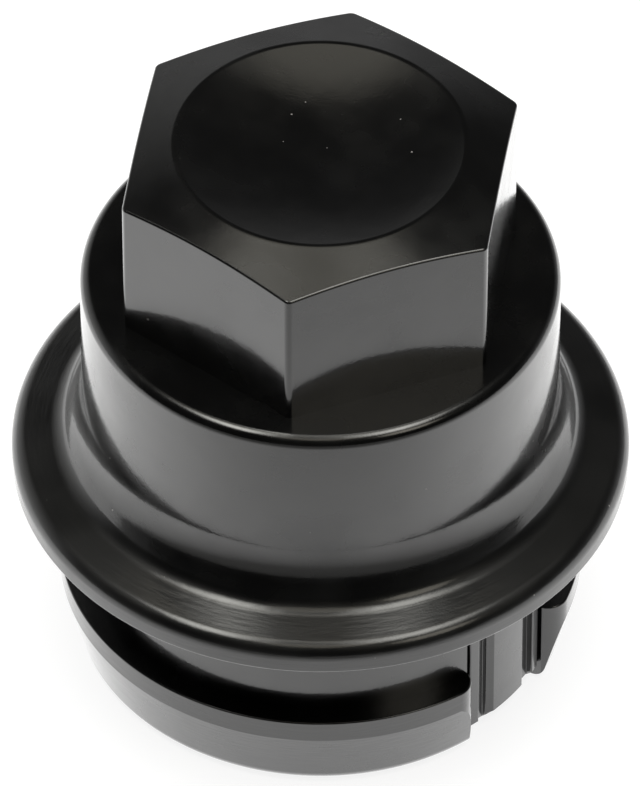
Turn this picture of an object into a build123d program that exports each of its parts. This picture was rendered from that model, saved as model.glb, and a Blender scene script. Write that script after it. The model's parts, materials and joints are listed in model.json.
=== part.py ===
"""Wheel nut cover cap: one hollow moulding with a hex head, a flange and a snap band.

The cap screws onto a wheel nut by the thread in its skirt. The flange and the snap band hold it
captive in a hole of the wheel cover, and a socket drives it by the hex head.
Millimetres, +Z up. The origin is the centre of the open end, and the two ribbed windows in the
snap band lie on the X axis, in line with two corners of the hex.
"""
import os
from math import asin, cos, degrees, radians, sin, sqrt, tan

from build123d import *

# Hex head
HEX_ACROSS_FLATS = 22.0
HEX_CORNER_RADIUS = 0.5
HEX_HEIGHT = 9.6             # shoulder to the corners of the head
CROWN_SLOPE = 15.8           # degrees, cone of the top from the corners inwards
CROWN_EDGE_CHAMFER = 0.12
DISH_RADIUS = 8.75           # plan radius of the hollow in the top
DISH_DEPTH = 1.0
DISH_LIP_RADIUS = 0.8

# Collar and flange
COLLAR_DIAMETER = 29.0
COLLAR_RIM_RADIUS = 0.7
SHOULDER_HEIGHT = 29.05
FLANGE_DIAMETER = 37.7
FLANGE_BOTTOM = 13.7
FLANGE_EDGE_HEIGHT = 0.95    # upright rim of the flange
FLANGE_EDGE_CHAMFER = 0.2    # lower corner of that rim
FLANGE_CROWN_RADIUS = 1.05
FLANGE_TOP_SLOPE = 11.0      # degrees, fall of the top from the neck to the crown
FLANGE_NECK_RADIUS = 1.4     # hollow curve from the top of the flange into the slanted neck
NECK_SLANT = 29.0            # degrees from upright
NECK_SLANT_LENGTH = 0.75
NECK_EASE_RADIUS = 5.0       # hollow curve from the slanted neck into the collar's wall

# Skirt and snap band
SKIRT_DIAMETER = 29.5
SKIRT_CHAMFER = 1.43
BAND_DIAMETER = 32.1
BAND_HEIGHT = 6.35
BAND_UPRIGHT = 1.5           # straight part under the ledge
BAND_TAPER = 13.3            # degrees, lead-in below the straight part
BAND_FOOT_RADIUS = 1.35
BAND_LEDGE_CHAMFER = 0.12
BAND_END_TUCK = 0.05         # how far the band's round end starts inside the slit

# Ribbed windows between the ends of the band
CENTRE_RIB_WIDTH = 2.82
CENTRE_RIB_CHAMFER = 0.35
RIB_GROOVE_DEPTH = 0.6
SIDE_RIB_INNER = 2.61        # distance from the X axis to the near side of a side rib
SIDE_RIB_WIDTH = 0.75
SLIT_WIDTH = 0.24
SLIT_DEPTH = 0.4

# Inside
THREAD_MAJOR_DIAMETER = 24.0
THREAD_END = 12.0            # height where the thread stops
MOUTH_CHAMFER = 0.9
NUT_BORE_DIAMETER = 21.6
SHOULDER_THICKNESS = 2.65
HEAD_BORE_DIAMETER = 16.8
ROOF_THICKNESS = 2.5
BORE_CORNER_CHAMFER = 0.8

# Worked out from the above
HEX_CORNER = HEX_ACROSS_FLATS / sqrt(3)
COLLAR_R = COLLAR_DIAMETER / 2
FLANGE_R = FLANGE_DIAMETER / 2
SKIRT_R = SKIRT_DIAMETER / 2
BAND_R = BAND_DIAMETER / 2
THREAD_R = THREAD_MAJOR_DIAMETER / 2
NUT_BORE_R = NUT_BORE_DIAMETER / 2
HEAD_BORE_R = HEAD_BORE_DIAMETER / 2
SLIT_INNER = SIDE_RIB_INNER + SIDE_RIB_WIDTH
SLIT_OUTER = SLIT_INNER + SLIT_WIDTH
HEX_TOP = SHOULDER_HEIGHT + HEX_HEIGHT
DISH_LIP = HEX_TOP + (HEX_CORNER - DISH_RADIUS) * tan(radians(CROWN_SLOPE))
DISH_FLOOR = DISH_LIP - DISH_DEPTH
OVERLAP = 1.0                # how far joined or cutting bodies run into each other


def turned(*lines):
    """Solid of revolution about Z from a closed outline in radius and height."""
    with BuildPart() as body:
        with BuildSketch(Plane.XZ):
            with BuildLine():
                for line in lines:
                    add(line)
            make_face()
        revolve(axis=Axis.Z)
    return body.part


def flange_curves():
    """Outline of the flange from its crown to the collar's wall, each run tangent to the next."""
    turn = 90 - FLANGE_TOP_SLOPE
    slant = radians(NECK_SLANT)
    crown = CenterArc((FLANGE_R - FLANGE_CROWN_RADIUS, FLANGE_BOTTOM + FLANGE_EDGE_HEIGHT),
                      FLANGE_CROWN_RADIUS, 0, turn)
    crown_end = crown @ 1
    widening = NECK_EASE_RADIUS - FLANGE_NECK_RADIUS
    ease_x = COLLAR_R + NECK_EASE_RADIUS
    neck_x = ease_x - widening * cos(slant) + NECK_SLANT_LENGTH * sin(slant)
    slope_end = neck_x - FLANGE_NECK_RADIUS * cos(radians(turn))
    rise = (crown_end.X - slope_end) * tan(radians(FLANGE_TOP_SLOPE))
    neck_y = crown_end.Y + rise + FLANGE_NECK_RADIUS * sin(radians(turn))
    ease_y = neck_y + widening * sin(slant) + NECK_SLANT_LENGTH * cos(slant)
    neck = CenterArc((neck_x, neck_y), FLANGE_NECK_RADIUS, 180 + turn, NECK_SLANT - turn)
    easing = CenterArc((ease_x, ease_y), NECK_EASE_RADIUS, 180 + NECK_SLANT, -NECK_SLANT)
    return crown, Line(crown_end, neck @ 0), neck, Line(neck @ 1, easing @ 0), easing


def skirt_and_collar():
    """Outer body from the open end to the shoulder under the hex, still solid."""
    flange = flange_curves()
    rim = CenterArc((COLLAR_R - COLLAR_RIM_RADIUS, SHOULDER_HEIGHT - COLLAR_RIM_RADIUS),
                    COLLAR_RIM_RADIUS, 0, 90)
    lower = Polyline((0, SHOULDER_HEIGHT), (0, 0), (SKIRT_R - SKIRT_CHAMFER, 0), (SKIRT_R, SKIRT_CHAMFER),
                     (SKIRT_R, FLANGE_BOTTOM), (FLANGE_R - FLANGE_EDGE_CHAMFER, FLANGE_BOTTOM),
                     (FLANGE_R, FLANGE_BOTTOM + FLANGE_EDGE_CHAMFER), flange[0] @ 0)
    wall = Line(flange[-1] @ 1, rim @ 0)
    top = Line(rim @ 1, (0, SHOULDER_HEIGHT))
    return turned(lower, *flange, wall, rim, top)


def hex_head():
    """Hex prism under a shallow cone, with a round hollow in its top."""
    with BuildPart() as prism:
        with BuildSketch(Plane.XY.offset(SHOULDER_HEIGHT - OVERLAP)):
            RegularPolygon(HEX_CORNER, 6)
            fillet(vertices(), HEX_CORNER_RADIUS)
        extrude(amount=DISH_LIP - SHOULDER_HEIGHT + 2 * OVERLAP)
    reach = HEX_CORNER + OVERLAP
    reach_top = HEX_TOP - OVERLAP * tan(radians(CROWN_SLOPE))
    low = SHOULDER_HEIGHT - 2 * OVERLAP
    with BuildPart() as crown:
        with BuildSketch(Plane.XZ) as outline:
            with BuildLine():
                Polyline((0, DISH_FLOOR), (0, low), (reach, low), (reach, reach_top), (DISH_RADIUS, DISH_LIP))
                sphere_r = (DISH_RADIUS ** 2 + DISH_DEPTH ** 2) / (2 * DISH_DEPTH)
                CenterArc((0, DISH_FLOOR + sphere_r), sphere_r, -90, degrees(asin(DISH_RADIUS / sphere_r)))
            make_face()
            fillet(outline.vertices().sort_by(Axis.Y)[-1], DISH_LIP_RADIUS)
        revolve(axis=Axis.Z)
    head = prism.part & crown.part
    rim = head.edges().filter_by_position(Axis.Z, HEX_TOP - OVERLAP, DISH_LIP)
    rim = [edge for edge in rim if edge.geom_type != GeomType.CIRCLE]
    return chamfer(rim, CROWN_EDGE_CHAMFER)


def snap_band():
    """Ring below the ledge, tapered as a lead-in, with its ends rounded off at the two windows."""
    taper = radians(BAND_TAPER)
    bend = BAND_HEIGHT - BAND_UPRIGHT
    # The foot arc touches the ground plane and the taper.
    foot_x = BAND_R - (bend - BAND_FOOT_RADIUS) * tan(taper) - BAND_FOOT_RADIUS / cos(taper)
    foot = CenterArc((foot_x, BAND_FOOT_RADIUS), BAND_FOOT_RADIUS, -90, 90 - BAND_TAPER)
    inner = SKIRT_R - SKIRT_CHAMFER - OVERLAP / 2
    ring = turned(foot, Polyline(foot @ 1, (BAND_R, bend), (BAND_R, BAND_HEIGHT - BAND_LEDGE_CHAMFER),
                                 (BAND_R - BAND_LEDGE_CHAMFER, BAND_HEIGHT), (inner, BAND_HEIGHT),
                                 (inner, 0), foot @ 0))
    # Each round end rises from the skirt just inside the slit, and the slit trims it.
    end_round = BAND_R - SKIRT_R
    end_angle = degrees(asin((SLIT_OUTER - BAND_END_TUCK) / SKIRT_R) + 2 * asin(end_round / (2 * SKIRT_R)))
    reach = 2 * BAND_R
    half = reach * tan(radians(end_angle))
    with BuildPart() as windows:
        with BuildSketch(Plane.XY.offset(-OVERLAP)):
            for facing in (0, 180):
                with Locations(Rotation(0, 0, facing)):
                    Polygon((0, 0), (reach, -half), (reach, half), align=None)
            with PolarLocations(SKIRT_R, 2, end_angle):
                Circle(end_round, mode=Mode.SUBTRACT)
            with PolarLocations(SKIRT_R, 2, -end_angle):
                Circle(end_round, mode=Mode.SUBTRACT)
        extrude(amount=BAND_HEIGHT + 2 * OVERLAP)
    return ring - windows.part


def rib_grooves():
    """Upright grooves and slits that leave one wide and two narrow ribs in each window."""
    crest = sqrt(SKIRT_R ** 2 - (CENTRE_RIB_WIDTH / 2) ** 2)
    floor = crest - RIB_GROOVE_DEPTH
    outside = BAND_R + OVERLAP
    foot = CENTRE_RIB_WIDTH / 2 + CENTRE_RIB_CHAMFER
    slit_floor = sqrt(SKIRT_R ** 2 - SLIT_INNER ** 2) - SLIT_DEPTH
    with BuildPart() as cutters:
        with BuildSketch(Plane.XY.offset(-OVERLAP)):
            for facing in (0, 180):
                for side in (1, -1):
                    with Locations(Rotation(0, 0, facing)):
                        Polygon((floor, side * SIDE_RIB_INNER), (floor, side * foot),
                                (crest - CENTRE_RIB_CHAMFER, side * foot),
                                (outside, side * (foot - CENTRE_RIB_CHAMFER - outside + crest)),
                                (outside, side * SIDE_RIB_INNER), align=None)
                        Polygon((slit_floor, side * SLIT_INNER), (slit_floor, side * SLIT_OUTER),
                                (outside, side * SLIT_OUTER), (outside, side * SLIT_INNER), align=None)
        extrude(amount=FLANGE_BOTTOM + OVERLAP)
    return cutters.part


def inside():
    """Stepped hollow: threaded mouth, bore that clears the nut, and the bore of the head."""
    shelf = SHOULDER_HEIGHT - SHOULDER_THICKNESS
    roof = DISH_FLOOR - ROOF_THICKNESS
    corner = BORE_CORNER_CHAMFER
    return turned(Polyline((0, roof), (0, -OVERLAP), (THREAD_R + MOUTH_CHAMFER + OVERLAP, -OVERLAP),
                           (THREAD_R, MOUTH_CHAMFER), (THREAD_R, THREAD_END), (NUT_BORE_R, THREAD_END),
                           (NUT_BORE_R, shelf - corner), (NUT_BORE_R - corner, shelf), (HEAD_BORE_R, shelf),
                           (HEAD_BORE_R, roof - corner), (HEAD_BORE_R - corner, roof), (0, roof)))


cap = skirt_and_collar() + snap_band() - rib_grooves() + hex_head() - inside()

os.makedirs("parts", exist_ok=True)
export_step(cap, "parts/nut_cover_cap.step")
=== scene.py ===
"""Looks of the wheel nut cover cap: one shell of glossy black plastic on a white table.

The shell is modelled in millimetres from named sizes, and its mesh is written in metres. It keeps the form
of the solid that it stands for, and adds small rounds on the moulded edges and the thread in the skirt.
A turned profile runs from the roof inside down to the mouth, or up the outside and into the dish in the top,
so the surface faces to the right of its way. Where two runs meet in an edge, each has its own normals.
"""
import json
from math import acos, asin, atan, atan2, ceil, cos, degrees, hypot, pi, radians, sin, sqrt, tan

import bpy
from mathutils import Matrix, Vector
from mathutils.geometry import tessellate_polygon

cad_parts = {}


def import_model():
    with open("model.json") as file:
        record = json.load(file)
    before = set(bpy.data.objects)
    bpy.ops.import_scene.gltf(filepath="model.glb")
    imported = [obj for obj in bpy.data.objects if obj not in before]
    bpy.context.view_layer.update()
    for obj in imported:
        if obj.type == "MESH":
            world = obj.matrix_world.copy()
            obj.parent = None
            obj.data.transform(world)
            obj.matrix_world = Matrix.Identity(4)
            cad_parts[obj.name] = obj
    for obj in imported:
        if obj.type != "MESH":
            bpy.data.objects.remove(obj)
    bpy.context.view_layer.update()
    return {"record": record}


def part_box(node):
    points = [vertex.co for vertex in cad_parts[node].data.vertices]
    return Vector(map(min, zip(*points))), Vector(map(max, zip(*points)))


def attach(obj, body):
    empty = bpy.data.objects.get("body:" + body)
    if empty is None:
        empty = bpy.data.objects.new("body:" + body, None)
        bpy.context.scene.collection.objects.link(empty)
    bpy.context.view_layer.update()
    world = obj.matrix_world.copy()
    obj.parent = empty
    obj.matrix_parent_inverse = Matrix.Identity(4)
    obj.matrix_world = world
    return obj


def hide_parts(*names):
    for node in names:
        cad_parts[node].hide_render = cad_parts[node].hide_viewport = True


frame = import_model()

NODE = "nut_cover_cap"
MM = 0.001
LOW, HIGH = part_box(NODE)
THREAD = next(m for m in frame["record"]["mounts"] if m["name"] == "nut_thread")

# Hex head
HEX_APOTHEM = 11.0
HEX_CORNER_ROUND = 0.5
HEX_HEIGHT = 9.6
CROWN_SLOPE = radians(15.8)
CROWN_EDGE_ROUND = 0.16
DISH_R = 8.75
DISH_DEPTH = 1.0
LIP_ROUND = 0.8

# Collar and flange
COLLAR_R = 14.5
RIM_ROUND = 0.7
SHOULDER = 29.05
FLANGE_R = (HIGH[0] - LOW[0]) / 2 / MM
FLANGE_BOTTOM = 13.7
FLANGE_EDGE_HEIGHT = 0.95
FLANGE_EDGE_ROUND = 0.2
CROWN_ROUND = 1.05
FLANGE_SLOPE = radians(11)
NECK_ROUND = 1.4
NECK_SLANT = radians(29)      # from upright
NECK_SLANT_LENGTH = 0.75
EASE_ROUND = 5.0

# Skirt and snap band
SKIRT_R = 14.75
SKIRT_CHAMFER = 1.43
BAND_R = 16.05
BAND_HEIGHT = 6.35
BAND_UPRIGHT = 1.5
BAND_TAPER = radians(13.3)
BAND_FOOT_ROUND = 1.35
LEDGE_ROUND = 0.12

# Ribbed windows
CENTRE_RIB_HALF = 1.41
CENTRE_RIB_CHAMFER = 0.35
RIB_GROOVE_DEPTH = 0.6
SIDE_RIB = (2.61, 3.36)      # near and far side, measured from the X axis
SLIT_FAR = 3.6
SLIT_DEPTH = 0.4
BAND_END_START = 3.55        # where the round end of the band rises from the skirt
RIB_ROUND = 0.1
RIB_FOOT_ROUND = 0.05

# Inside
THREAD_R = THREAD["dims"]["r_mm"]
THREAD_PITCH = 2.0
THREAD_DEPTH = 1.0825
THREAD_CREST_HALF = THREAD_PITCH / 8
THREAD_ROOT_HALF = THREAD_PITCH / 16
THREAD_RUNOUT = 0.8
MOUTH_CHAMFER = 0.9
THREAD_END = THREAD["dims"]["length_mm"] + MOUTH_CHAMFER
NUT_BORE_R = 10.8
SHELF_THICKNESS = 2.65       # from the shelf inside to the shoulder above it
HEAD_BORE_R = 8.4
ROOF_THICKNESS = 2.5
BORE_CORNER = 0.8

# Worked out from the above
HEX_CORNER = HEX_APOTHEM / cos(pi / 6)
HEX_TOP = SHOULDER + HEX_HEIGHT
DISH_LIP = HEX_TOP + (HEX_CORNER - DISH_R) * tan(CROWN_SLOPE)
DISH_FLOOR = DISH_LIP - DISH_DEPTH
ROOF = DISH_FLOOR - ROOF_THICKNESS
SHELF = SHOULDER - SHELF_THICKNESS
END_ROUND = BAND_R - SKIRT_R
END_ANGLE = asin(BAND_END_START / SKIRT_R) + 2 * asin(END_ROUND / (2 * SKIRT_R))
END_CENTRE = (SKIRT_R * cos(END_ANGLE), SKIRT_R * sin(END_ANGLE))

# Columns of the mesh, counted round the axis
INSIDE_COLUMNS = 160
FLAT_COLUMNS = 27            # along one flat of the hex
CORNER_COLUMNS = 8           # round one corner of the hex
END_COLUMNS = 14             # round one end of the band
BAND_COLUMNS = 44            # a quarter of the way round, between a window and the Y axis

# Steps of the mesh along its profiles
EDGE_STEPS = 5               # over the smallest rounds
ROUND_STEPS = 10             # over the lip, the rim and the easing of the neck
BEND_STEPS = 16              # over the crown of the flange and its neck
FOOT_STEPS = 12
DISH_STEPS = 14
CONE_STEPS = 6
SLOPE_STEPS = 4
SLANT_STEPS = 2
WALL_STEPS = 3
TAPER_STEPS = (6, 3)         # of the band, above and below the skirt's chamfer
RIB_STEPS = 6                # over half of the centre rib
RIB_ROUND_STEP = 22          # degrees
THREAD_STEP = 0.08
THREAD_PROBE = 0.02          # how far to each side the slope of the thread is measured

# Closeness of points
JOIN_DIGITS = 4              # points that agree to so many decimals are one
SAME_PLACE = 1e-3
HAIR = 1e-6                  # slack in comparisons

# Finish, with lengths in millimetres
PLASTIC_COLOUR = (0.002, 0.002, 0.002, 1)
PLASTIC_IOR = 1.5
GLOSS_ROUGHNESS = 0.06
HAZE = (0.17, 0.33)          # roughness under the gloss, from clean to hazy places
HAZE_SCALE = 0.23            # hazy places in a millimetre
HAZE_DETAIL = 4.0
HAZE_EDGE = (0.35, 0.7)      # noise at which a clean place ends and a hazy one is full
RUBBED_HAZE = 0.14           # more on the flange, which is rubbed
RUBBED_FROM = (13.0, 14.5)   # heights between which the rubbing sets in
STREAK_WIDTH = 0.2           # rubbed streaks run round the flange
STREAK_LENGTH = 1.5
STREAK_DEPTH = 0.009
STREAK_DETAIL = 2.0
STREAK_FROM = (14.9, 16.0)   # no streaks nearer to the axis, and full streaks farther out
SCRATCH_STRETCH = (9.0, 1.1, 7.0)
SCRATCH_DEPTH = 0.0008
SCRATCH_DETAIL = 3.0
SCRATCH_EDGE = (0.62, 0.7)   # noise at which a scratch starts and is full
RIPPLE_WIDTH = 1.6
RIPPLE_DEPTH = 0.008
GRAIN_WIDTH = 0.12
GRAIN_DEPTH = 0.0025
PLAIN_DETAIL = 1.0           # of ripples and grain
DUST_COLOUR = (0.22, 0.21, 0.2, 1)
DUST_CELL = 1.1
DUST_SIZE = 0.08
DUST_SHARE = 0.3             # of the cells hold a speck

# Table, in metres
TABLE_WIDTH = 6.0
TABLE_COLOUR = 0.22
# The glow for each kind of ray makes the table white for the eye and in reflections.
TABLE_GLOW = {"Is Camera Ray": 0.86, "Is Glossy Ray": 1.0, "Is Transmission Ray": 1.0}
TABLE_FADE = (0.021, 0.082)  # distances towards the camera between which its reflection dims

# Lamps, in metres
WARM_WHITE = (1.0, 0.99, 0.93)
LAMP_DISTANCE = 0.7
# Each softbox: the way to its middle (right, to the camera, up), its width and length, its turn, its
# brightness, and the share of its width and of its length over which it dims at each edge.
SOFTBOXES = {
    "softbox_left": ((-0.305, 0.07, 0.95), (0.33, 0.56), radians(-14), 7.6, (0.5, 0.45)),
    "softbox_right": ((0.265, 0.09, 0.96), (0.36, 0.56), radians(14), 6.4, (0.5, 0.45)),
}
OVERHEAD_WIDTH = 1.2
OVERHEAD_HEIGHT = 1.3
OVERHEAD_POWER = 18.0

# Room round the table
# Brightness behind the cap, at the sine of the height above the horizon.
HORIZON = ((0.0, 0.36), (0.13, 0.31), (0.26, 0.2), (0.38, 0.1), (0.5, 0.03), (0.7, 0.02))
HORIZON_EDGE = 0.002         # share of the height over which the white below it ends
ROOM_TOP = 0.02
ROOM_DARK = 0.012            # towards the camera
ROOM_BEHIND = (-0.1, 0.5)    # a way's part away from the camera, where the room behind starts and is full
# Soft glows in the room: the way to the middle, the angles where it starts to dim and ends, its brightness.
GLOWS = {
    "ceiling": ((-0.03, -0.28, 0.96), radians(9), radians(19), (0.68, 0.65, 0.56, 1)),
    "front": ((0.0, 0.36, 0.933), radians(5), radians(15), (0.7, 0.65, 0.54, 1)),
    "front_right": ((0.5, 0.53, 0.69), radians(4), radians(14), (1.9, 1.8, 1.55, 1)),
    "wall_left": ((-0.763, -0.64, 0.087), radians(16), radians(46), (0.45, 0.45, 0.44, 1)),
}

# Camera, in metres
CAMERA_ELEVATION = radians(45.08)
CAMERA_AZIMUTH = radians(38.74)
CAMERA_DISTANCE = 0.77604
CAMERA_LENS = 584.9          # millimetres
CAMERA_CLIP = (0.01, 20)
AIM_HEIGHT = 0.01905
AIM_RIGHT, AIM_UP = -0.00003, -0.000286


class Skin:
    """Faces with a normal at every corner, joined where their points coincide."""

    def __init__(self):
        self.points = []
        self.index = {}
        self.faces = []
        self.normals = []

    def vertex(self, point):
        # Adding zero leaves no negative zeros.
        key = tuple(round(c, JOIN_DIGITS) + 0.0 for c in point)
        if key not in self.index:
            self.index[key] = len(self.points)
            self.points.append(key)
        return self.index[key]

    def face(self, corners):
        """Adds a face given as (point, normal) pairs, without its repeated points, facing its normals."""
        ring = []
        for point, normal in corners:
            i = self.vertex(point)
            if i not in [j for j, _ in ring]:
                ring.append((i, Vector(normal)))
        if len(ring) < 3:
            return
        a, b, c, *fourth = (Vector(self.points[i]) for i, _ in ring)
        across = (b - a).cross(c - b)
        for d in fourth:
            across += (d - c).cross(a - d)
        if across.dot(sum((n for _, n in ring), Vector())) < 0:
            ring.reverse()
        self.faces.append([i for i, _ in ring])
        self.normals.extend(n.normalized() for _, n in ring)

    def sheet(self, rings):
        """Faces between closed rings of (point, normal) pairs that have one number of columns."""
        for low, high in zip(rings, rings[1:]):
            for j in range(len(low)):
                k = (j + 1) % len(low)
                self.face([low[j], low[k], high[k], high[j]])

    def plane(self, outer, inner, normal):
        """Flat face between two loops of points."""
        loops = [[Vector(p) for p in distinct(loop)] for loop in (outer, inner)]
        points = loops[0] + loops[1]
        for triangle in tessellate_polygon(loops):
            self.face([(points[i], normal) for i in triangle])

    def mesh(self, name):
        mesh = bpy.data.meshes.new(name)
        mesh.from_pydata([[c * MM for c in p] for p in self.points], [], self.faces)
        for polygon in mesh.polygons:
            polygon.use_smooth = True
        mesh.normals_split_custom_set([tuple(n) for n in self.normals])
        return mesh


def distinct(loop):
    """The loop without points that repeat the one before."""
    kept = []
    for point in loop:
        if not kept or (Vector(point) - Vector(kept[-1])).length > SAME_PLACE:
            kept.append(point)
    if (Vector(kept[0]) - Vector(kept[-1])).length <= SAME_PLACE:
        kept.pop()
    return kept


def spread(start, end, steps):
    return [start + (end - start) * k / steps for k in range(steps + 1)]


# Profiles: lists of (radius, height, normal's radial part, normal's upward part)

def straight(start, end, steps=1):
    dr, dz = end[0] - start[0], end[1] - start[1]
    length = hypot(dr, dz)
    return [(start[0] + dr * t, start[1] + dz * t, dz / length, -dr / length) for t in spread(0, 1, steps)]


def arc(centre, radius, start, end, steps):
    """Arc between two angles in radians; run clockwise it is hollow, and its normals point to the centre."""
    out = 1 if end > start else -1
    return [(centre[0] + radius * cos(a), centre[1] + radius * sin(a), out * cos(a), out * sin(a))
            for a in spread(start, end, steps)]


def turned_ring(sample, angles):
    r, z, nr, nz = sample
    return [((r * cos(a), r * sin(a), z), (nr * cos(a), nr * sin(a), nz)) for a in angles]


def turned(profile, angles):
    return [turned_ring(sample, angles) for sample in profile]


# Head, collar and flange

def corner_reach():
    """Polar angle from a hex corner to where its round starts, and how far out the round's centre is."""
    centre = (HEX_APOTHEM - HEX_CORNER_ROUND) / cos(pi / 6)
    return atan2(HEX_CORNER_ROUND / 2, centre + HEX_CORNER_ROUND * cos(pi / 6)), centre


def head_angles():
    """Columns of the upper body: close together round the corners of the hex."""
    reach, _ = corner_reach()
    angles = []
    for k in range(6):
        corner = k * pi / 3
        angles += spread(corner - reach, corner + reach, CORNER_COLUMNS)
        angles += spread(corner + reach, corner + pi / 3 - reach, FLAT_COLUMNS)[1:-1]
    return angles


def hex_plan(angle):
    """Point of the hex's outline in that direction, and the outline's normal there."""
    reach, centre = corner_reach()
    corner = round(angle / (pi / 3)) * pi / 3
    away = angle - corner
    if abs(away) <= reach + HAIR:
        distance = centre * cos(away) + sqrt(HEX_CORNER_ROUND ** 2 - (centre * sin(away)) ** 2)
        point = (distance * cos(angle), distance * sin(angle))
        normal = ((point[0] - centre * cos(corner)) / HEX_CORNER_ROUND,
                  (point[1] - centre * sin(corner)) / HEX_CORNER_ROUND)
        return point, normal
    facing = corner + (pi / 6 if away > 0 else -pi / 6)
    distance = HEX_APOTHEM / cos(angle - facing)
    return (distance * cos(angle), distance * sin(angle)), (cos(facing), sin(facing))


def crown_height(radius):
    return HEX_TOP + (HEX_CORNER - radius) * tan(CROWN_SLOPE)


def hex_walls(plans):
    """Rings of the flats, and rings of the round along their top edge.

    That round lies in the upright plane across the outline.
    """
    flats, edge = [[], []], [[] for _ in range(EDGE_STEPS + 1)]
    for (x, y), (nx, ny) in plans:
        lean = atan(tan(CROWN_SLOPE) * (x * nx + y * ny) / hypot(x, y))
        inset = hypot(x - CROWN_EDGE_ROUND * nx, y - CROWN_EDGE_ROUND * ny)
        centre_z = crown_height(inset) - CROWN_EDGE_ROUND / cos(lean)
        flats[0].append(((x, y, SHOULDER), (nx, ny, 0)))
        flats[1].append(((x, y, centre_z), (nx, ny, 0)))
        for ring, up in zip(edge, spread(0, pi / 2 - lean, EDGE_STEPS)):
            back = CROWN_EDGE_ROUND * (1 - cos(up))
            ring.append(((x - back * nx, y - back * ny, centre_z + CROWN_EDGE_ROUND * sin(up)),
                         (nx * cos(up), ny * cos(up), sin(up))))
    return flats, edge


def crown_cone(edge, angles, inner):
    """Rings of the cone, from the top edge of the flats to the round of the lip."""
    out, up = sin(CROWN_SLOPE), cos(CROWN_SLOPE)
    rings = []
    for t in spread(0, 1, CONE_STEPS):
        ring = []
        for a, (point, _) in zip(angles, edge):
            x = point[0] + (inner * cos(a) - point[0]) * t
            y = point[1] + (inner * sin(a) - point[1]) * t
            z = point[2] if t == 0 else crown_height(hypot(x, y))
            turn = atan2(y, x)
            ring.append(((x, y, z), (out * cos(turn), out * sin(turn), up)))
        rings.append(ring)
    return rings


def lip_and_dish():
    """Centre of the lip's round, and the radius and centre height of the dish's sphere.

    The round touches the cone outside it and the sphere inside. So its centre is on the line that runs
    LIP_ROUND under the cone, and LIP_ROUND outside the sphere.
    """
    sphere_r = (DISH_R ** 2 + DISH_DEPTH ** 2) / (2 * DISH_DEPTH)
    sphere_z = DISH_FLOOR + sphere_r
    reach = sphere_r + LIP_ROUND
    slope = tan(CROWN_SLOPE)
    line_z = crown_height(0) - LIP_ROUND / cos(CROWN_SLOPE)
    drop = line_z - sphere_z
    r = (slope * drop + sqrt(reach ** 2 * (1 + slope ** 2) - drop ** 2)) / (1 + slope ** 2)
    return (r, line_z - slope * r), sphere_r, sphere_z


def add_head(skin, angles):
    """Shoulder, flats, crown and dish."""
    plans = [hex_plan(a) for a in angles]
    rim = turned_ring((COLLAR_R - RIM_ROUND, SHOULDER, 0, 1), angles)
    base = [((x, y, SHOULDER), (0, 0, 1)) for (x, y), _ in plans]
    flats, edge = hex_walls(plans)
    (lip_r, lip_z), sphere_r, sphere_z = lip_and_dish()
    cone = crown_cone(edge[-1], angles, lip_r + LIP_ROUND * sin(CROWN_SLOPE))
    inward = atan2(sphere_z - lip_z, -lip_r)
    lip = arc((lip_r, lip_z), LIP_ROUND, pi / 2 - CROWN_SLOPE, inward, ROUND_STEPS)
    dish = arc((0, sphere_z), sphere_r, inward - pi, -pi / 2, DISH_STEPS)
    for rings in ([rim, base], flats, edge, cone, turned(lip, angles), turned(dish, angles)):
        skin.sheet(rings)


def add_collar(skin, angles):
    """Flange with its crown, sloping top and hollow neck, the collar's wall and its rim."""
    turn = pi / 2 - FLANGE_SLOPE
    edge_top = FLANGE_BOTTOM + FLANGE_EDGE_HEIGHT
    crown_end = (FLANGE_R - CROWN_ROUND * (1 - cos(turn)), edge_top + CROWN_ROUND * sin(turn))
    widening = EASE_ROUND - NECK_ROUND
    neck_r = COLLAR_R + EASE_ROUND - widening * cos(NECK_SLANT) + NECK_SLANT_LENGTH * sin(NECK_SLANT)
    slope_end_r = neck_r - NECK_ROUND * cos(turn)
    slope_end = (slope_end_r, crown_end[1] + (crown_end[0] - slope_end_r) * tan(FLANGE_SLOPE))
    neck_z = slope_end[1] + NECK_ROUND * sin(turn)
    ease_z = neck_z + widening * sin(NECK_SLANT) + NECK_SLANT_LENGTH * cos(NECK_SLANT)
    foot = (FLANGE_R - FLANGE_EDGE_ROUND, FLANGE_BOTTOM + FLANGE_EDGE_ROUND)
    rim = (COLLAR_R - RIM_ROUND, SHOULDER - RIM_ROUND)
    neck = arc((neck_r, neck_z), NECK_ROUND, pi + turn, pi + NECK_SLANT, BEND_STEPS)
    easing = arc((COLLAR_R + EASE_ROUND, ease_z), EASE_ROUND, pi + NECK_SLANT, pi, ROUND_STEPS)
    runs = [arc(foot, FLANGE_EDGE_ROUND, -pi / 2, 0, EDGE_STEPS),
            straight((FLANGE_R, foot[1]), (FLANGE_R, edge_top)),
            arc((FLANGE_R - CROWN_ROUND, edge_top), CROWN_ROUND, 0, turn, BEND_STEPS),
            straight(crown_end, slope_end, SLOPE_STEPS),
            neck,
            straight(neck[-1][:2], easing[0][:2], SLANT_STEPS),
            easing,
            straight((COLLAR_R, ease_z), (COLLAR_R, rim[1]), WALL_STEPS),
            arc(rim, RIM_ROUND, 0, pi / 2, ROUND_STEPS)]
    for run in runs:
        skin.sheet(turned(run, angles))
    return [point for point, _ in turned_ring((foot[0], FLANGE_BOTTOM, 0, -1), angles)]


# Skirt and snap band. A quarter is made, from the middle of a window to the Y axis, and mirrored.

def sag(y):
    """How far the skirt's circle has come back at that distance from the X axis."""
    return SKIRT_R - sqrt(SKIRT_R ** 2 - y * y)


def clockwise(way, angle):
    """The plan vector turned clockwise by that angle."""
    return Vector((way.x * cos(angle) + way.y * sin(angle), way.y * cos(angle) - way.x * sin(angle)))


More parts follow.
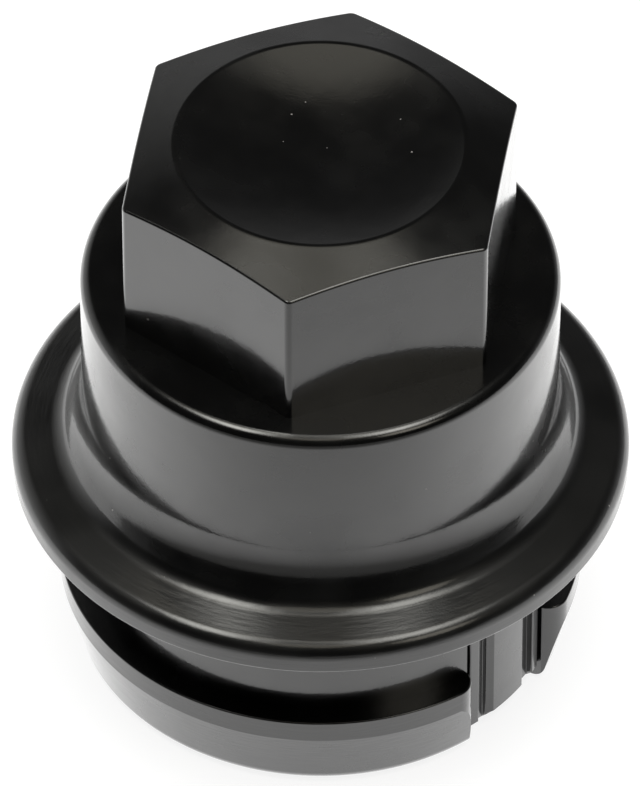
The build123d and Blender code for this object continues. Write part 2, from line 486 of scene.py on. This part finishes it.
def rounded_path(corners, rounds):
    """Plan points with outward normals along straight runs, with every corner but the end ones rounded."""
    path = [(corners[0], None)]
    for k in range(1, len(corners) - 1):
        before = (Vector(corners[k]) - Vector(corners[k - 1])).normalized()
        after = (Vector(corners[k + 1]) - Vector(corners[k])).normalized()
        turn = before.angle_signed(after)
        cut = rounds[k - 1] * tan(abs(turn) / 2)
        start, end = Vector(corners[k]) - before * cut, Vector(corners[k]) + after * cut
        for t in spread(0, 1, max(2, ceil(abs(degrees(turn)) / RIB_ROUND_STEP))):
            # The way turns evenly from one run to the next along the round.
            half = turn * t / 2
            way = clockwise(before, turn * t)
            point = start + clockwise(before, half) * (2 * rounds[k - 1] * sin(abs(half)))
            path.append((tuple(point), (way.y, -way.x)))
        path[-1] = (tuple(end), path[-1][1])
    path[0] = (corners[0], path[1][1])
    path.append((corners[-1], path[-1][1]))
    return path


def window_path():
    """Half of a window in plan, from the middle of its centre rib to the far wall of the slit.

    The runs are drawn on the unrolled skirt and then bent onto its circle.
    """
    crest = SKIRT_R - sag(CENTRE_RIB_HALF)
    foot = CENTRE_RIB_HALF + CENTRE_RIB_CHAMFER
    floor = crest - RIB_GROOVE_DEPTH
    slit_floor = SKIRT_R - sag(SIDE_RIB[1]) - SLIT_DEPTH
    corners = [(SKIRT_R, 0), (SKIRT_R, CENTRE_RIB_HALF),
               (crest - CENTRE_RIB_CHAMFER + sag(foot), foot), (floor + sag(foot), foot),
               (floor + sag(SIDE_RIB[0]), SIDE_RIB[0]), (SKIRT_R, SIDE_RIB[0]), (SKIRT_R, SIDE_RIB[1]),
               (slit_floor + sag(SIDE_RIB[1]), SIDE_RIB[1]), (slit_floor + sag(SLIT_FAR), SLIT_FAR),
               (SKIRT_R, SLIT_FAR)]
    crest_and_foot = [RIB_ROUND, RIB_ROUND, RIB_FOOT_ROUND, RIB_FOOT_ROUND]
    path = rounded_path(corners, crest_and_foot * 2)
    first = path.pop(0)
    path = [((SKIRT_R, y), first[1]) for y in spread(0, path[0][0][1], RIB_STEPS)[:-1]] + path
    bent = []
    for (u, y), (nu, ny) in path:
        slope = y / sqrt(SKIRT_R ** 2 - y * y)
        normal = Vector((nu, ny + slope * nu)).normalized()
        bent.append(((u - sag(y), y), tuple(normal)))
    return bent


def skirt_level(z, path):
    """One level of the skirt above the ledge; a point has a normal for the column before and after it."""
    level = [((x, y, z), (nx, ny, 0), (nx, ny, 0)) for (x, y), (nx, ny) in path]
    corner, before, _ = level[-1]
    level[-1] = (corner, before, (corner[0] / SKIRT_R, corner[1] / SKIRT_R, 0))
    (x, y), _ = end_plan(BAND_R - LEDGE_ROUND, LEDGE_ROUND)[0]
    for a in spread(atan2(y, x), pi / 2, END_COLUMNS + BAND_COLUMNS):
        normal = (cos(a), sin(a), 0)
        level.append(((SKIRT_R * cos(a), SKIRT_R * sin(a), z), normal, normal))
    return level


def end_plan(radius, inset):
    """Round end of the band in plan, from the slit's far wall to the band's outside: points with normals."""
    end_round = END_ROUND - inset
    drop = SLIT_FAR - END_CENTRE[1]
    wall_x = END_CENTRE[0] + sqrt(max(0, end_round ** 2 - drop ** 2))
    if radius <= hypot(wall_x, SLIT_FAR):
        a = asin(SLIT_FAR / radius)
        return [((radius * cos(a), SLIT_FAR), (cos(a), sin(a)))] * (END_COLUMNS + 1)
    if hypot(wall_x, SLIT_FAR) > SKIRT_R:
        start = asin(drop / end_round)
    else:
        start = END_ANGLE - acos(-end_round / (2 * SKIRT_R))
    meet = (radius ** 2 - SKIRT_R ** 2 - end_round ** 2) / (2 * SKIRT_R * end_round)
    end = END_ANGLE - acos(min(1, meet))
    return [((END_CENTRE[0] + end_round * cos(a), END_CENTRE[1] + end_round * sin(a)), (cos(a), sin(a)))
            for a in spread(start, end, END_COLUMNS)]


def band_level(sample, path, inset=0.0, chamfered=False):
    """One level of the window and the band, below the ledge."""
    radius, z, nr, nz = sample
    level = []
    cone = SKIRT_R - SKIRT_CHAMFER + z
    end = end_plan(radius - inset, inset)
    for (x, y), (nx, ny) in path:
        before = after = (nx, ny, 0)
        if chamfered and x * x + y * y >= cone * cone - HAIR:
            a = asin(y / cone)
            x = cone * cos(a)
            before = (cos(a) / sqrt(2), sin(a) / sqrt(2), -1 / sqrt(2))
            after = before if y < SLIT_FAR - HAIR else after
        level.append(((x, y, z), before, after))
    # The slit's far wall reaches out to the skirt's circle, or to the band's end where that is nearer.
    wall_x, facing = path[-1][0][0], (0, -1, 0)
    if end[0][0][1] > SLIT_FAR + HAIR:
        facing = (wall_x / SKIRT_R, SLIT_FAR / SKIRT_R, 0)
    else:
        wall_x = min(wall_x, end[0][0][0])
    level[-1] = ((wall_x, SLIT_FAR, z), (0, -1, 0), facing)
    for k, ((x, y), (nx, ny)) in enumerate(end):
        # In the ledge's round the end leans as the band does.
        normal = (nx * nr, ny * nr, nz) if nz > 0 else (nx, ny, 0)
        level.append(((x, y, z), normal if k else facing, normal))
    start = atan2(end[-1][0][1], end[-1][0][0])
    level[-1] = (level[-1][0], level[-1][1], (nr * cos(start), nr * sin(start), nz))
    for a in spread(start, pi / 2, BAND_COLUMNS)[1:]:
        normal = (nr * cos(a), nr * sin(a), nz)
        level.append((((radius - inset) * cos(a), (radius - inset) * sin(a), z), normal, normal))
    return level


def mirrored(vector, sx, sy):
    return (vector[0] * sx, vector[1] * sy, vector[2])


def whole_loop(level):
    """The loop of points all the way round, from a quarter of it."""
    quarter = [p for p, *_ in level]
    loop = []
    for sx, sy, back in ((1, 1, False), (-1, 1, True), (-1, -1, False), (1, -1, True)):
        points = [mirrored(p, sx, sy) for p in quarter]
        loop += points[::-1] if back else points
    return loop


def band_profile():
    """Runs of the band's outside below the ledge's round, down to the open end."""
    bend = BAND_HEIGHT - BAND_UPRIGHT
    foot_x = BAND_R - (bend - BAND_FOOT_ROUND) * tan(BAND_TAPER) - BAND_FOOT_ROUND / cos(BAND_TAPER)
    foot = arc((foot_x, BAND_FOOT_ROUND), BAND_FOOT_ROUND, -BAND_TAPER, -pi / 2, FOOT_STEPS)
    # The arc is run clockwise, but the foot isn't hollow.
    foot = [(r, z, -nr, -nz) for r, z, nr, nz in foot]
    lean = (cos(BAND_TAPER), -sin(BAND_TAPER))

    def taper(top, bottom, steps):
        return [(BAND_R - (bend - z) * tan(BAND_TAPER), z) + lean for z in spread(top, bottom, steps)]

    upright = [(BAND_R, z, 1, 0) for z in (BAND_HEIGHT - LEDGE_ROUND, bend)]
    return (upright, taper(bend, SKIRT_CHAMFER, TAPER_STEPS[0]),
            taper(SKIRT_CHAMFER, foot[0][1], TAPER_STEPS[1]), foot)


def ledge_edge(path):
    """Levels of the round along the ledge."""
    levels = []
    for up in spread(pi / 2, 0, EDGE_STEPS):
        z = BAND_HEIGHT - LEDGE_ROUND * (1 - sin(up))
        levels.append(band_level((BAND_R, z, cos(up), sin(up)), path, LEDGE_ROUND * (1 - cos(up))))
    return levels


def add_skirt(skin, underside):
    """Ribbed skirt with its snap band; underside is the outer loop of the flange's flat underside."""
    path = window_path()
    top, ledge = skirt_level(FLANGE_BOTTOM, path), skirt_level(BAND_HEIGHT, path)
    edge = ledge_edge(path)
    upright, taper, low_taper, foot = band_profile()
    runs = [[top, ledge], edge]
    runs += [[band_level(s, path) for s in run] for run in (upright, taper)]
    runs += [[band_level(s, path, chamfered=True) for s in run] for run in (low_taper, foot)]

    for sx, sy in ((1, 1), (-1, 1), (-1, -1), (1, -1)):
        for run in runs:
            for a, b in zip(run, run[1:]):
                for j in range(len(a) - 1):
                    corners = ((a[j][0], a[j][2]), (a[j + 1][0], a[j + 1][1]),
                               (b[j + 1][0], b[j + 1][1]), (b[j][0], b[j][2]))
                    skin.face([(mirrored(p, sx, sy), mirrored(n, sx, sy)) for p, n in corners])
        for j in range(len(path), len(ledge) - 1):
            flat = (ledge[j][0], ledge[j + 1][0], edge[0][j + 1][0], edge[0][j][0])
            skin.face([(mirrored(p, sx, sy), (0, 0, 1)) for p in flat])
    skin.plane(underside, whole_loop(top), (0, 0, -1))
    mouth = [p for p, _ in turned_ring((THREAD_R + MOUTH_CHAMFER, 0, 0, -1), inside_angles())]
    skin.plane(whole_loop(runs[-1][-1]), mouth, (0, 0, -1))


# Inside

def inside_angles():
    return spread(0, 2 * pi, INSIDE_COLUMNS)[:-1]


def thread_radius(angle, z):
    """Wall of the right-handed thread: its ridges stand inwards and run out at both ends."""
    from_ridge = abs((z / THREAD_PITCH - angle / (2 * pi)) % 1 - 0.5) * THREAD_PITCH
    flank = THREAD_PITCH / 2 - THREAD_CREST_HALF - THREAD_ROOT_HALF
    height = min(1, max(0, (flank + THREAD_CREST_HALF - from_ridge) / flank))
    runout = min(1, max(0, (THREAD_END - z) / THREAD_RUNOUT))
    return max(THREAD_R + MOUTH_CHAMFER - z, THREAD_R - THREAD_DEPTH * height * runout)


def thread_rings(angles):
    probe = THREAD_PROBE
    rings = []
    for z in spread(THREAD_END, 0, round(THREAD_END / THREAD_STEP)):
        ring = []
        for a in angles:
            r = thread_radius(a, z)
            along = (thread_radius(a + probe / r, z) - thread_radius(a - probe / r, z)) / (2 * probe)
            up = (thread_radius(a, z + probe) - thread_radius(a, z - probe)) / (2 * probe)
            normal = (-cos(a) - along * sin(a), -sin(a) + along * cos(a), up)
            ring.append(((r * cos(a), r * sin(a), z), normal))
        rings.append(ring)
    return rings


def add_inside(skin):
    """Roof, bore of the head, shelf, bore that clears the nut, and the threaded mouth."""
    angles = inside_angles()
    turns = [(0, ROOF), (HEAD_BORE_R - BORE_CORNER, ROOF), (HEAD_BORE_R, ROOF - BORE_CORNER),
             (HEAD_BORE_R, SHELF), (NUT_BORE_R - BORE_CORNER, SHELF), (NUT_BORE_R, SHELF - BORE_CORNER),
             (NUT_BORE_R, THREAD_END), (THREAD_R, THREAD_END)]
    for start, end in zip(turns, turns[1:]):
        skin.sheet(turned(straight(start, end, WALL_STEPS), angles))
    skin.sheet(thread_rings(angles))


def build_shell():
    skin = Skin()
    angles = head_angles()
    add_head(skin, angles)
    underside = add_collar(skin, angles)
    add_skirt(skin, underside)
    add_inside(skin)
    shell = bpy.data.objects.new("cap_shell", skin.mesh("cap_shell"))
    bpy.context.collection.objects.link(shell)
    return shell


# Node trees

class Graph:
    """Node tree of a material, a lamp or the room, with short ways to add nodes to it.

    A value that goes into a node is a number, a vector, a colour or an output of another node.
    """
    FIRST_COLOUR, SECOND_COLOUR, MIXED_COLOUR = 6, 7, 2    # sockets of a mix node

    def __init__(self, owner):
        owner.use_nodes = True
        self.nodes = owner.node_tree.nodes
        self.links = owner.node_tree.links

    def fill(self, node, values):
        """Sets or links inputs of the node, which are given by name or number."""
        for key, value in values.items():
            if isinstance(value, bpy.types.NodeSocket):
                self.links.new(value, node.inputs[key])
            else:
                node.inputs[key].default_value = value

    def node(self, kind, values):
        node = self.nodes.new(kind)
        self.fill(node, values)
        return node

    def place(self, source):
        return self.nodes.new("ShaderNodeTexCoord").outputs[source]

    def arithmetic(self, operation, first, second):
        step = self.nodes.new("ShaderNodeMath")
        step.operation = operation
        self.fill(step, {0: first, 1: second})
        return step.outputs[0]

    def product(self, first, second):
        return self.arithmetic("MULTIPLY", first, second)

    def vector(self, operation, values):
        step = self.nodes.new("ShaderNodeVectorMath")
        step.operation = operation
        self.fill(step, values)
        return step.outputs

    def scaled(self, vector, factor):
        return self.vector("SCALE", {0: vector, "Scale": factor})["Vector"]

    def stretched(self, vector, factors):
        return self.vector("MULTIPLY", {0: vector, 1: factors})["Vector"]

    def along(self, vector, way):
        """The vector's part along a way."""
        return self.vector("DOT_PRODUCT", {0: vector, 1: way})["Value"]

    def noise(self, vector, detail, scale=1.0):
        values = {"Vector": vector, "Scale": scale, "Detail": detail}
        return self.node("ShaderNodeTexNoise", values).outputs[0]

    def ranged(self, value, low, high, to_low=0.0, to_high=1.0, shape="LINEAR"):
        span = self.nodes.new("ShaderNodeMapRange")
        span.interpolation_type = shape
        self.fill(span, {"Value": value, "From Min": low, "From Max": high,
                         "To Min": to_low, "To Max": to_high})
        return span.outputs[0]

    def eased(self, value, start, end):
        return self.ranged(value, start, end, shape="SMOOTHSTEP")

    def mixed(self, blend, factor, first, second):
        mix = self.nodes.new("ShaderNodeMix")
        mix.data_type, mix.blend_type, mix.clamp_factor = "RGBA", blend, True
        self.fill(mix, {"Factor": factor, self.FIRST_COLOUR: first, self.SECOND_COLOUR: second})
        return mix.outputs[self.MIXED_COLOUR]


def grey(level):
    return (level, level, level, 1)


# Finish

def dust(graph, place):
    """1 on a few small specks, 0 elsewhere."""
    cells = graph.node("ShaderNodeTexVoronoi", {"Vector": place, "Scale": 1 / DUST_CELL})
    pick = graph.node("ShaderNodeSeparateColor", {0: cells.outputs["Color"]})
    size = graph.ranged(pick.outputs[0], 1 - DUST_SHARE, 1.0, 0.0, DUST_SIZE / DUST_CELL)
    return graph.arithmetic("LESS_THAN", cells.outputs["Distance"], size)


def streaks(graph, level, radius, height):
    """Noise drawn out round the axis, which changes quickly outwards and upwards."""
    rise = graph.arithmetic("ADD", radius, height)
    across = graph.node("ShaderNodeCombineXYZ", {"Z": graph.product(rise, 1 / STREAK_WIDTH)})
    around = graph.vector("NORMALIZE", {0: level})["Vector"]
    drawn_out = graph.scaled(around, COLLAR_R / STREAK_LENGTH)
    drawn_out = graph.vector("ADD", {0: drawn_out, 1: across.outputs[0]})["Vector"]
    return graph.noise(drawn_out, STREAK_DETAIL)


def relief(graph, place, streaked):
    """Ripples of the moulding, rubbed streaks, scratches and grain, each over the one before."""
    scratched = graph.noise(graph.stretched(place, SCRATCH_STRETCH), SCRATCH_DETAIL)
    layers = ((graph.noise(place, PLAIN_DETAIL, 1 / RIPPLE_WIDTH), RIPPLE_DEPTH),
              (streaked, STREAK_DEPTH),
              (graph.ranged(scratched, *SCRATCH_EDGE), SCRATCH_DEPTH),
              (graph.noise(place, PLAIN_DETAIL, 1 / GRAIN_WIDTH), GRAIN_DEPTH))
    below = {}
    for height, depth in layers:
        bump = graph.node("ShaderNodeBump", {"Height": height, "Distance": depth * MM, **below})
        below = {"Normal": bump.outputs[0]}
    return below["Normal"]


def plastic():
    """Black plastic under a gloss of the same index, with its marks of moulding and use."""
    material = bpy.data.materials.new("black_plastic")
    graph = Graph(material)
    place = graph.scaled(graph.place("Object"), 1 / MM)
    level = graph.stretched(place, (1, 1, 0))
    radius = graph.vector("LENGTH", {0: level})["Value"]
    height = graph.along(place, (0, 0, 1))
    outer = graph.ranged(radius, *STREAK_FROM)
    normal = relief(graph, place, graph.product(streaks(graph, level, radius, height), outer))
    rubbed = graph.product(graph.product(outer, graph.ranged(height, *RUBBED_FROM)), RUBBED_HAZE)
    haze = graph.ranged(graph.noise(place, HAZE_DETAIL, HAZE_SCALE), *HAZE_EDGE, *HAZE)
    graph.fill(graph.nodes["Principled BSDF"], {
        "Base Color": graph.mixed("MIX", dust(graph, place), PLASTIC_COLOUR, DUST_COLOUR),
        "Roughness": graph.arithmetic("ADD", haze, rubbed),
        "IOR": PLASTIC_IOR,
        "Normal": normal,
        "Coat Weight": 1.0,
        "Coat Roughness": GLOSS_ROUGHNESS,
        "Coat Normal": normal,
    })
    return material


# Table, light and camera

def camera_front():
    """Level way from the cap towards the camera."""
    return Vector((sin(CAMERA_AZIMUTH), -cos(CAMERA_AZIMUTH), 0))


def camera_axes():
    """To the camera's right, up in the picture, and from the cap to the camera."""
    out = Vector((sin(CAMERA_AZIMUTH) * cos(CAMERA_ELEVATION), -cos(CAMERA_AZIMUTH) * cos(CAMERA_ELEVATION),
                  sin(CAMERA_ELEVATION)))
    right = Vector((cos(CAMERA_AZIMUTH), sin(CAMERA_AZIMUTH), 0))
    return right, out.cross(right), out


def placed(way):
    """A direction given as right, towards the camera and up, in the part's own axes."""
    right, _, _ = camera_axes()
    return (right * way[0] + camera_front() * way[1] + Vector((0, 0, way[2]))).normalized()


def table_white():
    """White from above, and clear from below, so that the open end can be looked at."""
    material = bpy.data.materials.new("table_white")
    graph = Graph(material)
    rays = graph.nodes.new("ShaderNodeLightPath").outputs
    front = graph.along(graph.place("Object"), placed((0, 1, 0)))
    glow = 0.0
    for ray, strength in TABLE_GLOW.items():
        part = graph.product(rays[ray], strength)
        if ray == "Is Glossy Ray":
            part = graph.product(part, graph.ranged(front, *TABLE_FADE, 1.0, 0.0))
        glow = graph.arithmetic("MAXIMUM", glow, part)
    white = graph.nodes["Principled BSDF"]
    graph.fill(white, {"Base Color": grey(TABLE_COLOUR), "Roughness": 1.0, "Specular IOR Level": 0.0,
                       "Emission Color": grey(1.0), "Emission Strength": glow})
    below = graph.nodes.new("ShaderNodeNewGeometry").outputs["Backfacing"]
    clear = graph.nodes.new("ShaderNodeBsdfTransparent").outputs[0]
    either = graph.node("ShaderNodeMixShader", {0: below, 1: white.outputs[0], 2: clear})
    graph.fill(graph.nodes["Material Output"], {"Surface": either.outputs[0]})
    return material


def table():
    half = TABLE_WIDTH / 2
    corners = [(-half, -half, 0), (half, -half, 0), (half, half, 0), (-half, half, 0)]
    mesh = bpy.data.meshes.new("table")
    mesh.from_pydata(corners, [], [(0, 1, 2, 3)])
    mesh.materials.append(table_white())
    top = bpy.data.objects.new("table", mesh)
    bpy.context.collection.objects.link(top)


def world():
    """Room that is pale behind the cap, white below the horizon there, dark elsewhere, with soft glows."""
    sky = bpy.data.worlds.new("studio")
    bpy.context.scene.world = sky
    graph = Graph(sky)
    way = graph.place("Generated")
    height = graph.node("ShaderNodeSeparateXYZ", {0: way}).outputs["Z"]
    ramp = graph.node("ShaderNodeValToRGB", {0: height})
    stops = ramp.color_ramp.elements
    stops[0].position, stops[0].color = 0.0, grey(1.0)
    stops[1].position, stops[1].color = 1.0, grey(ROOM_TOP)
    for sine, level in HORIZON:
        stop = stops.new(HORIZON_EDGE + (1 - HORIZON_EDGE) * sine)
        stop.color = grey(level)
    behind = graph.eased(graph.along(way, placed((0, -1, 0))), *ROOM_BEHIND)
    light = graph.mixed("MIX", behind, grey(ROOM_DARK), ramp.outputs[0])
    for middle, inner, outer, colour in GLOWS.values():
        near = graph.eased(graph.along(way, placed(middle)), cos(outer), cos(inner))
        light = graph.mixed("ADD", near, light, colour)
    graph.fill(graph.nodes["Background"], {"Color": light, "Strength": 1.0})


def soft_edges(light, dims):
    """Lets the light dim towards its edges, over those shares of its width and length."""
    graph = Graph(light)
    where = graph.nodes.new("ShaderNodeNewGeometry").outputs["Parametric"]
    parts = graph.node("ShaderNodeSeparateXYZ", {0: where}).outputs
    strength = 1.0
    for part, share in zip(parts, dims):
        rise = graph.eased(part, 0.0, share)
        fall = graph.eased(part, 1.0, 1.0 - share)
        strength = graph.product(strength, graph.product(rise, fall))
    graph.fill(graph.nodes["Emission"], {"Strength": strength})


def facing_cap(location, turn):
    """Rotation of a lamp at that place, with its width across the way to the camera before its own turn."""
    back = Vector(location).normalized()
    across = camera_front().cross(back).normalized()
    axes = Matrix((across, back.cross(across), back)).transposed()
    return (axes @ Matrix.Rotation(turn, 3, "Z")).to_euler()


def lamp(name, location, size, power, turn=0.0):
    """Rectangular soft light that faces the cap."""
    light = bpy.data.lights.new(name, "AREA")
    light.shape = "RECTANGLE"
    light.size, light.size_y = size
    light.energy = power
    obj = bpy.data.objects.new(name, light)
    obj.location = location
    obj.rotation_euler = facing_cap(location, turn)
    bpy.context.collection.objects.link(obj)
    return obj


def lamps():
    """Two softboxes that show as highlights, and a wide light for the table, which doesn't show."""
    for name, (way, size, turn, brightness, dims) in SOFTBOXES.items():
        power = brightness * pi * size[0] * size[1]
        softbox = lamp(name, placed(way) * LAMP_DISTANCE, size, power, turn)
        softbox.data.color = WARM_WHITE
        soft_edges(softbox.data, dims)
    overhead = lamp("overhead", (0, 0, OVERHEAD_HEIGHT), (OVERHEAD_WIDTH, OVERHEAD_WIDTH), OVERHEAD_POWER)
    overhead.visible_glossy = False


def camera():
    data = bpy.data.cameras.new("camera")
    data.lens = CAMERA_LENS
    data.clip_start, data.clip_end = CAMERA_CLIP
    eye = bpy.data.objects.new("camera", data)
    right, up, out = camera_axes()
    aim = Vector((0, 0, AIM_HEIGHT)) + right * AIM_RIGHT + up * AIM_UP
    eye.location = aim + out * CAMERA_DISTANCE
    eye.rotation_euler = out.to_track_quat("Z", "Y").to_euler()
    bpy.context.collection.objects.link(eye)
    bpy.context.scene.camera = eye


shell = build_shell()
shell.data.materials.append(plastic())
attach(shell, "root")
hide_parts(NODE)
table()
world()
lamps()
camera()
bpy.context.scene.view_settings.view_transform = "Standard"
